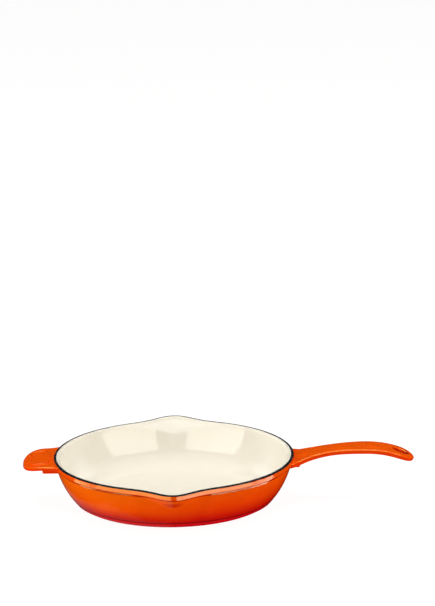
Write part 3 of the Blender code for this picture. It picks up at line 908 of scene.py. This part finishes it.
CREAM_LOW = (0.915, 0.862, 0.735)
CREAM_HIGH = (0.925, 0.872, 0.75)
ORANGE = (0.89, 0.088, 0.0)
# Painted light: the brighter orange on the side towards the helper handle.
PAINTED_LIT_ORANGE = (0.90, 0.135, 0.001)
DEEP_ORANGE = (0.82, 0.050, 0.0)
RED = (0.63, 0.008, 0.001)
DARK_RED = (0.48, 0.004, 0.003)
FOOT_RED = (0.64, 0.003, 0.008)
# Painted shade: the dark line in the groove above the foot.
GROOVE_SHADE_RED = (0.29, 0.003, 0.004)
# Painted shade: the dark line in the crease under the collar band, on the wall's top and the band's lower
# edge.
UNDER_BAND_SHADE_RED = (0.44, 0.014, 0.001)
HANDLE_ORANGE_LOW = (0.97, 0.085, 0.0)
HANDLE_ORANGE_HIGH = (1.0, 0.110, 0.001)
# Partly the redder thin glaze at the handles' edges, partly painted shade on faces turned away from the
# lights above.
HANDLE_SIDE_AND_SHADE = (0.86, 0.042, 0.0)
# Painted shade on the walls of the hanging hole.
HOLE_SHADE_RED = (0.30, 0.003, 0.002)
EDGE_DARK_LOW = (0.004, 0.010, 0.014)
EDGE_DARK_HIGH = (0.006, 0.016, 0.020)
GLINT = (1.0, 1.0, 0.55, 1.0)


def build_materials():
    """Every material by its short name. Heights are in metres above the table."""
    foot = [(0.0, FOOT_RED), (0.14, FOOT_RED), (0.20, DARK_RED)]
    fading = foot + [(0.29, RED), (0.60, DEEP_ORANGE), (1.0, ORANGE)]
    # The same fade with painted light, brighter towards the helper handle.
    painted_lit_fading = foot + [(0.26, RED), (0.50, ORANGE), (1.0, PAINTED_LIT_ORANGE)]
    made = {
        "cream": enamel(
            "cream_enamel",
            low=0.0,
            high=0.055,
            stops=[(0.0, CREAM_LOW), (1.0, CREAM_HIGH)],
            roughness=0.025,
            peel=[(110.0, 0.00006)],
            mottle=0.98,
        ),
        "flame": enamel(
            "flame_enamel",
            low=0.0,
            high=0.046,
            stops=fading,
            roughness=0.08,
            peel=[(150.0, 0.0004), (420.0, 0.00008)],
            # Painted shade: a dark line in the groove above the foot, and one under the collar band.
            shade_lines=[(0.0066, 0.0092, GROOVE_SHADE_RED), (0.0440, 0.0470, UNDER_BAND_SHADE_RED)],
            # Painted light on the helper handle's side, and painted shade in the hollows under the spouts.
            changes=[(painted_light_helper_side, painted_lit_fading), (shade_under_spouts, DARK_RED)],
        ),
        "band": enamel(
            "band_enamel",
            low=0.040,
            high=0.054,
            stops=[(0.0, DEEP_ORANGE), (1.0, ORANGE)],
            roughness=0.08,
            peel=[(150.0, 0.00015)],
            # Painted shade along the band's lower edge.
            shade_lines=[(0.0458, 0.0482, UNDER_BAND_SHADE_RED)],
        ),
        "red": enamel(
            "base_enamel_red",
            low=0.0,
            high=0.004,
            stops=[(0.0, FOOT_RED), (1.0, FOOT_RED)],
            roughness=0.12,
            peel=[(150.0, 0.0003)],
        ),
        "edge": enamel(
            "dark_edge",
            low=0.05,
            high=0.054,
            stops=[(0.0, EDGE_DARK_LOW), (1.0, EDGE_DARK_HIGH)],
            roughness=0.25,
            peel=[(300.0, 0.0001)],
            ior=1.2,
        ),
        "handle": enamel(
            "handle_enamel",
            low=0.040,
            high=0.056,
            stops=[(0.0, HANDLE_ORANGE_LOW), (1.0, HANDLE_ORANGE_HIGH)],
            roughness=0.05,
            peel=[(150.0, 0.0003)],
            # Painted shade on the handles' sides and undersides, and in the hanging hole.
            changes=[(sides_and_shade, HANDLE_SIDE_AND_SHADE), (shade_in_hole, HOLE_SHADE_RED)],
        ),
    }
    for name in ("flame", "band", "red", "handle"):
        shader = made[name].node_tree.nodes["Principled BSDF"]
        shader.inputs["Specular Tint"].default_value = GLINT
    made["cream"].node_tree.nodes["Principled BSDF"].inputs["Specular IOR Level"].default_value = 0.38
    made["iron"] = iron_material()
    return made


def iron_material():
    """Rough grey iron, as it is under the coats."""
    material, tree, shader = new_material("as_cast_iron")
    dark, pale = (0.03, 0.03, 0.032), (0.07, 0.068, 0.066)
    colour = ramp(tree, noise(tree, 400.0, 5.0), 0.3, 0.7, [(0.0, dark), (1.0, pale)])
    tree.links.new(colour, shader.inputs["Base Color"])
    gloss = ramp(tree, noise(tree, 250.0, 4.0), 0.3, 0.7, [(0.0, (0.55,) * 3), (1.0, (0.85,) * 3)])
    tree.links.new(gloss, shader.inputs["Roughness"])
    shader.inputs["Metallic"].default_value = 0.9
    bump(tree, shader, [(600.0, 0.0003)])
    return material


# ---------------------------------------------------------------- stage, lights and camera


def add_floor():
    """A plain floor that glows white, a hair below the standing base so that they never share a plane."""
    size, drop, shade, glow = 12.0, 0.0004, 0.12, 0.94
    mesh = bpy.data.meshes.new("floor")
    corners = [(-size, -size, -drop), (size, -size, -drop), (size, size, -drop), (-size, size, -drop)]
    mesh.from_pydata(corners, [], [(0, 1, 2, 3)])
    floor = bpy.data.objects.new("floor", mesh)
    bpy.context.scene.collection.objects.link(floor)
    material, _, shader = new_material("pale_floor")
    shader.inputs["Base Color"].default_value = (shade, shade, shade, 1.0)
    shader.inputs["Roughness"].default_value = 0.9
    shader.inputs["Emission Color"].default_value = (1.0, 1.0, 1.0, 1.0)
    shader.inputs["Emission Strength"].default_value = glow
    mesh.materials.append(material)
    floor.visible_glossy = False


def add_panel_light(name, azimuth, sides, heights, radiance, colour, mirrored):
    """An upright rectangular light, square to the line from the pan at this azimuth.

    Azimuth 0 is the camera's side, positive to its right. sides are the panel's left and right edges across
    that line, and heights its lower and upper edge, in metres.
    """
    (left, right), (low, high) = sides, heights
    turn = math.radians(azimuth)
    outward = Vector((math.sin(turn), -math.cos(turn), 0.0))
    across = Vector((math.cos(turn), math.sin(turn), 0.0))
    middle = outward * PANEL_DISTANCE + across * 0.5 * (left + right) + Vector((0, 0, 0.5 * (low + high)))
    return add_area(name, middle, outward, (right - left, high - low), radiance, colour, mirrored)


def add_area(name, middle, towards_light, size, radiance, colour, mirrored):
    """A rectangular light that shines against the direction towards_light.

    A mirrored light is only seen in the gloss, as a bright softbox is. The others only light the pan.
    """
    width, tall = size
    light = bpy.data.lights.new(name, "AREA")
    light.shape = "RECTANGLE"
    light.size = width
    light.size_y = tall
    light.energy = radiance * width * tall * math.pi
    light.color = colour
    place = bpy.data.objects.new(name, light)
    bpy.context.scene.collection.objects.link(place)
    place.location = middle
    place.rotation_euler = Vector(towards_light).to_track_quat("Z", "Y").to_euler()
    place.visible_camera = False
    place.visible_diffuse = not mirrored
    place.visible_glossy = mirrored
    return place


def shine_on(lights, pieces, name):
    """Lets these lights be mirrored in these pieces only."""
    only = bpy.data.collections.new(name)
    for made in pieces:
        only.objects.link(made)
    for light in lights:
        light.light_linking.receiver_collection = only


WARM = (1.0, 0.96, 0.88)
WHITE = (1.0, 1.0, 1.0)
YELLOW = (1.0, 0.98, 0.55)
GOLDEN = (1.0, 0.84, 0.40)


def mirrored_panels(rows, pieces, name):
    """Panels that are only seen in the gloss of these pieces.

    A row has a panel's name, azimuth, sides, heights, radiance and colour.
    """
    shine_on([add_panel_light(*row, mirrored=True) for row in rows], pieces, name)


def add_lights(inside, outside, handles, helper):
    """Softboxes that are only seen in the gloss, and soft keys that only light the pan.

    Each group of softboxes is mirrored in its own pieces. The ceiling, and the sheen from under the table,
    which stands for the pale floor, are mirrored in every piece.
    """
    around_bowl = [
        ("softbox_right", 30.0, (-0.27, 1.61), (-0.55, 1.48), 6.3, WHITE),
        ("softbox_left", -30.0, (-1.61, 0.40), (-0.42, 1.48), 4.8, YELLOW),
        ("low_strip_right", 94.0, (-0.47, 0.24), (-0.60, -0.04), 6.3, WHITE),
        ("low_strip_left", -92.0, (-0.28, 0.40), (-0.42, -0.04), 4.8, YELLOW),
    ]
    in_bowl = [
        ("inside_right", 30.0, (-0.27, 1.61), (0.0, 1.48), 5.0, WARM),
        ("inside_left", -30.0, (-1.61, 0.40), (0.0, 1.48), 5.2, WARM),
        ("inside_backdrop_right", 132.0, (-0.45, 0.45), (0.02, 1.2), 1.6, WHITE),
        ("inside_backdrop_left", -132.0, (-0.45, 0.45), (0.02, 1.2), 1.6, WHITE),
    ]
    before_handles = [("handle_fill", 0.0, (-1.2, 1.2), (0.1, 1.4), 2.0, GOLDEN)]
    before_helper = [("helper_fill", -10.0, (-0.9, 0.9), (0.1, 1.6), 2.2, GOLDEN)]
    mirrored_panels(around_bowl, outside, "lit_around_bowl")
    mirrored_panels(in_bowl, inside, "lit_in_bowl")
    glint = add_area("handle_glint", (0.1, -0.45, 1.7), (0, -0.3, 1), (2.6, 0.75), 14.0, GOLDEN, True)
    shine_on([glint], handles, "lit_over_handles")
    mirrored_panels(before_handles, handles, "lit_before_handles")
    mirrored_panels(before_helper, helper, "lit_before_helper")
    add_area("table_sheen_wide", (-0.5, 1.1, -1.0), (0, 0, -1), (0.9, 2.4), 0.15, WHITE, True)
    add_area("table_sheen_narrow", (-0.46, 1.0, -1.0), (0, 0, -1), (0.6, 1.9), 0.18, WHITE, True)
    add_area("ceiling", (0, 0, 1.9), (0, 0, 1), (3.0, 3.0), 1.0, WARM, True)
    keys = [
        ("key_right", 60.0, (-0.9, 0.9), (0.0, 1.4), 0.9, WHITE),
        ("key_left", -60.0, (-0.9, 0.9), (0.0, 1.4), 1.4, WHITE),
        ("side_right", 95.0, (-0.7, 0.7), (0.0, 1.2), 1.5, WHITE),
        ("side_left", -95.0, (-0.7, 0.7), (0.0, 1.2), 1.35, WHITE),
    ]
    for key in keys:
        add_panel_light(*key, mirrored=False)
    add_area("overhead", (0, 0.2, 2.0), (0, 0.1, 1), (2.0, 1.2), 4.0, WHITE, False)


def add_studio():
    """The room: dim on the camera's side, darker behind the pan, and black below the table."""
    world = bpy.data.worlds.new("studio")
    bpy.context.scene.world = world
    world.use_nodes = True
    tree = world.node_tree
    direction = tree.nodes.new("ShaderNodeTexCoord").outputs["Generated"]
    front, back = (0.15, 0.15, 0.15), (0.03, 0.02, 0.01)
    behind = ramp(tree, axis_of(tree, direction, "Y"), -0.6, 0.6, [(0.0, front), (1.0, back)])
    below, room = (0.0, 0.0, 0.0), (1.0, 1.0, 1.0)
    above = ramp(tree, axis_of(tree, direction, "Z"), -0.02, 0.02, [(0.0, below), (1.0, room)])
    colour = mix(tree, 1.0, behind, above, "MULTIPLY")
    tree.links.new(colour, tree.nodes["Background"].inputs["Color"])


def add_camera():
    """A long lens far off and above the rim, with the pan low in the picture and its bowl to the left."""
    back = VIEW_RIGHT.cross(VIEW_UP).normalized()
    data = bpy.data.cameras.new("camera")
    data.sensor_width = SENSOR
    data.lens = SENSOR * VIEW_DISTANCE / VIEW_HEIGHT
    data.clip_end = 100.0
    camera = bpy.data.objects.new("camera", data)
    bpy.context.scene.collection.objects.link(camera)
    place = back * VIEW_DISTANCE
    target = VIEW_RIGHT * VIEW_MIDDLE[0] + VIEW_UP * VIEW_MIDDLE[1]
    facing = (place - target).normalized()
    side = VIEW_UP.cross(facing).normalized()
    turned = Matrix((side, facing.cross(side), facing)).transposed()
    camera.matrix_world = Matrix.Translation(place) @ turned.to_4x4()
    bpy.context.scene.camera = camera


# ---------------------------------------------------------------- assembly


def build():
    """Dresses the two handle castings, adds every piece, and sets the stage."""
    materials = build_materials()
    for node in ("long_handle_casting", "helper_handle_casting"):
        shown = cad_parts[node]
        shown.data.materials.clear()
        shown.data.materials.append(materials["iron"])
    add_iron(materials["iron"])
    inside = [add_interior(materials["cream"])]
    band, band_top_radius = add_band(materials["band"])
    outside = [add_exterior(materials["flame"]), band, add_foot(materials["red"])]
    add_rim_edge(materials["edge"], band_top_radius)
    long_pieces = [
        add_long_handle(materials["handle"]),
        add_lug("long_lug", "long_handle_lug", LUG_START, materials["handle"]),
    ]
    helper_pieces = [
        add_helper_handle(materials["handle"]),
        add_helper_panel(materials["handle"]),
        add_lug("helper_lug", "helper_handle_lug", -LUG_START, materials["handle"]),
    ]
    add_floor()
    add_lights(inside, outside, long_pieces + helper_pieces, helper_pieces)
    add_studio()
    add_camera()
    bpy.context.scene.view_settings.view_transform = "Standard"


build()
